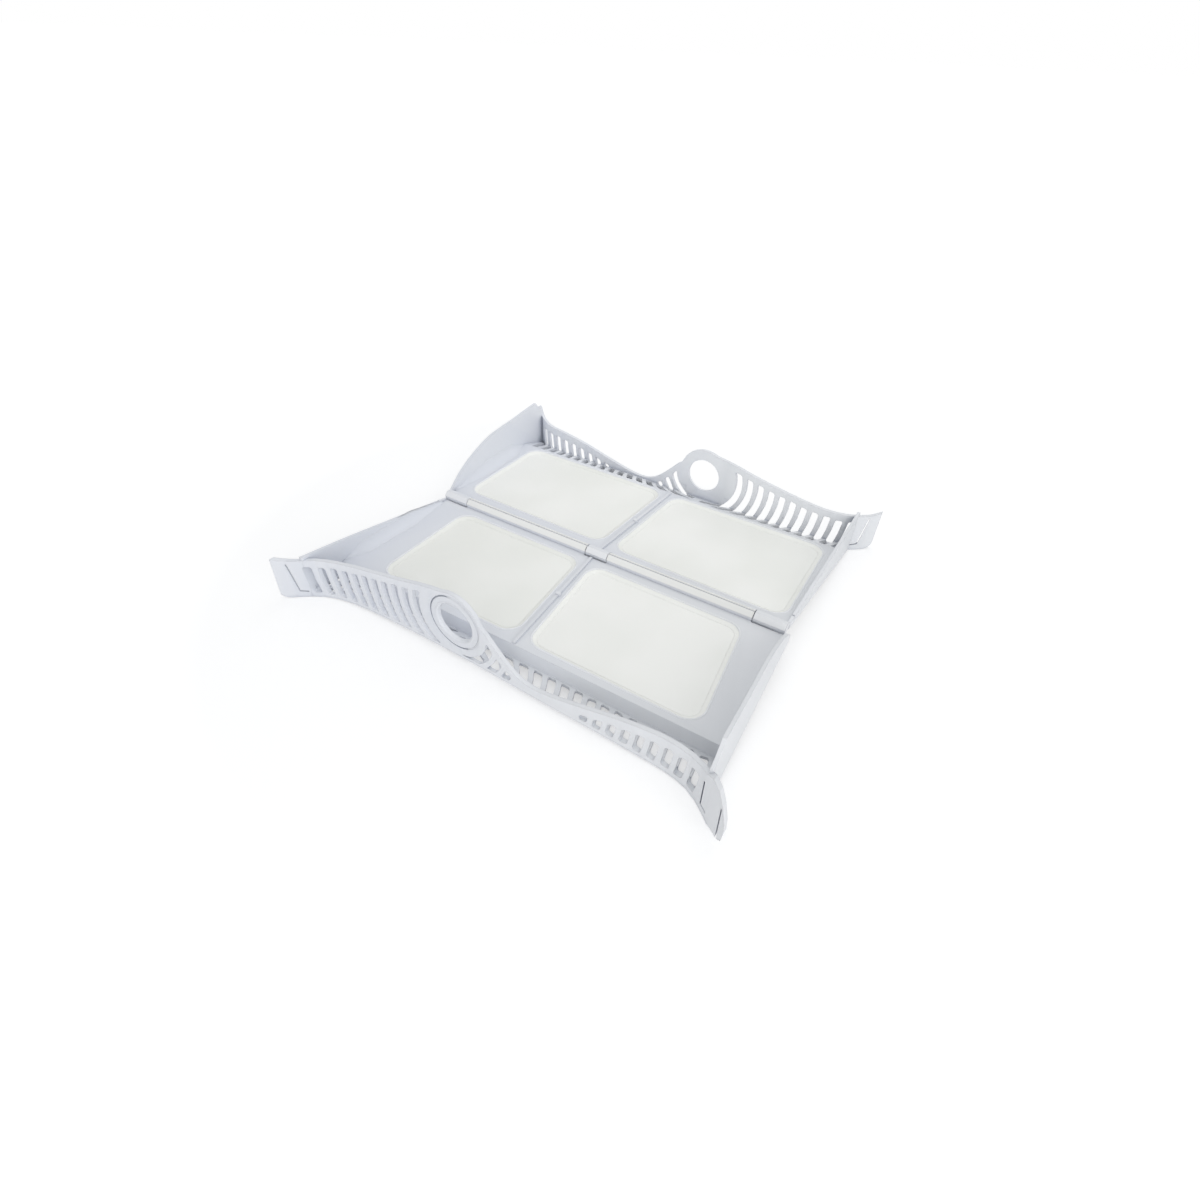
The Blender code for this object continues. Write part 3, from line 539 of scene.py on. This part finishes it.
def wall_cove(side, name):
    """Concave fillet between a side wall and the floor, growing away from the hinge."""
    towards = -math.copysign(1, WALL_STARTS[name])
    rings = []
    for step in range(COVE_STATIONS + 1):
        q = COVE_START + (COVE_END - COVE_START) * step / COVE_STATIONS
        wall = WALL_STARTS[name] + WALL_SPLAY_SHARES[name] * q - towards * SINK
        grown = COVE_GROWTH_SHARES[side, name] * q
        tapered = COVE_TAPER_SHARE * (COVE_END - q)
        radius = max(SINK, min(COVE_RADII[side, name], grown, tapered))
        ring = [leaf_point(side, wall, q, -SINK)]
        for turn in range(COVE_STEPS + 1):
            angle = math.pi / 2 * turn / COVE_STEPS
            u = wall + towards * radius * (1 - math.sin(angle))
            ring.append(leaf_point(side, u, q, radius * (1 - math.cos(angle)) - SINK))
        rings.append(ring)
    return swept(f"{side}_{name}_wall_cove", rings, False)


def barrel_strip(name, ends, section):
    """A strip of one section along a hinge barrel, over its upper side."""
    rings = []
    for x in ends:
        ring = []
        for distance, angle in section:
            rise = AXIS_RISE + distance * math.sin(angle)
            ring.append((x, distance * math.cos(angle), FLOOR_TOP + rise))
        rings.append(ring)
    piece = swept(f"barrel_{name}", rings, False)
    for face in piece.data.polygons:
        face.use_smooth = False
    return piece


def ring_sweep(side, name, section, arc):
    """A section turned about the finger ring's middle, in the front wall's plane."""
    middle_u, middle_q, middle_z = RING_PLACE
    start, end = arc
    closed = end - start >= 2 * math.pi
    rings = []
    for step in range(RING_STEPS if closed else RING_STEPS + 1):
        angle = start + (end - start) * step / RING_STEPS
        ring = []
        for distance, out in section:
            along = distance * math.cos(angle)
            u = middle_u + along * math.cos(RING_TURN) - out * math.sin(RING_TURN)
            q = middle_q + along * math.sin(RING_TURN) + out * math.cos(RING_TURN)
            ring.append(leaf_point(side, u, q, middle_z + distance * math.sin(angle)))
        rings.append(ring)
    return swept(f"{side}_{name}", rings, closed)


def attach(piece, side, material):
    """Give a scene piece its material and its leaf."""
    piece.data.materials.append(material)
    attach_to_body(piece, side + "_leaf")


def dress(material, names):
    """Give the frame's own nodes a material."""
    for name in names:
        for slot in bpy.data.objects[name].material_slots:
            slot.material = material


add_camera()
add_table()
add_world()
for lamp in LAMPS:
    add_lamp(*lamp)

plastic = moulded_plastic("plastic", MOULDING_COLOURS_AND_PAINTED_LIGHT)
lip_highlight_plastic = moulded_plastic("lip_highlight_plastic", LIP_HIGHLIGHT_COLOURS)
land_highlight_plastic = moulded_plastic("land_highlight_plastic", LAND_HIGHLIGHT_COLOURS)
shadow_line_plastic = moulded_plastic("shadow_line_plastic", SHADOW_LINE_COLOURS)
gauze = woven_gauze("gauze", GAUZE_COLOURS)
dress(plastic, [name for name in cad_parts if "frame" in name])
dress(gauze, [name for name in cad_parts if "screen" in name])

for side, windows in WINDOWS.items():
    for name, corners in zip(("left", "right"), windows):
        # Window lips in the paler plastic: a painted highlight
        attach(window_edge(side, name + "_window_lip", corners, LIP_SECTION), side, lip_highlight_plastic)
        border = window_edge(side, name + "_gauze_border", corners, BORDER_SECTION)
        attach(border, side, gauze)
    attach(ring_sweep(side, "finger_bead", BEAD_RING, BEAD_RING_ARC), side, plastic)
    attach(ring_sweep(side, "groove_fill", GROOVE_FILL, GROOVE_FILL_ARC), side, plastic)

for side, wall in COVE_RADII:
    attach(wall_cove(side, wall), side, plastic)

for name, ends in LONG_BARRELS.items():
    # Lands and beads in the paler plastic: a painted highlight
    attach(barrel_strip(name + "_land", ends, LAND_SECTION), "near", land_highlight_plastic)
    attach(barrel_strip(name + "_bead", ends, BEAD_SECTION), "near", land_highlight_plastic)
    # Dark strip beside the bead: a painted shadow line
    attach(barrel_strip(name + "_line", ends, SHADOW_LINE_SECTION), "near", shadow_line_plastic)
# Short knuckles' lands in the lips' paler plastic: a painted highlight
for name, ends in SHORT_BARRELS.items():
    attach(barrel_strip(name + "_short_land", ends, LAND_SECTION), "far", lip_highlight_plastic)

bpy.context.scene.view_settings.view_transform = "Standard"
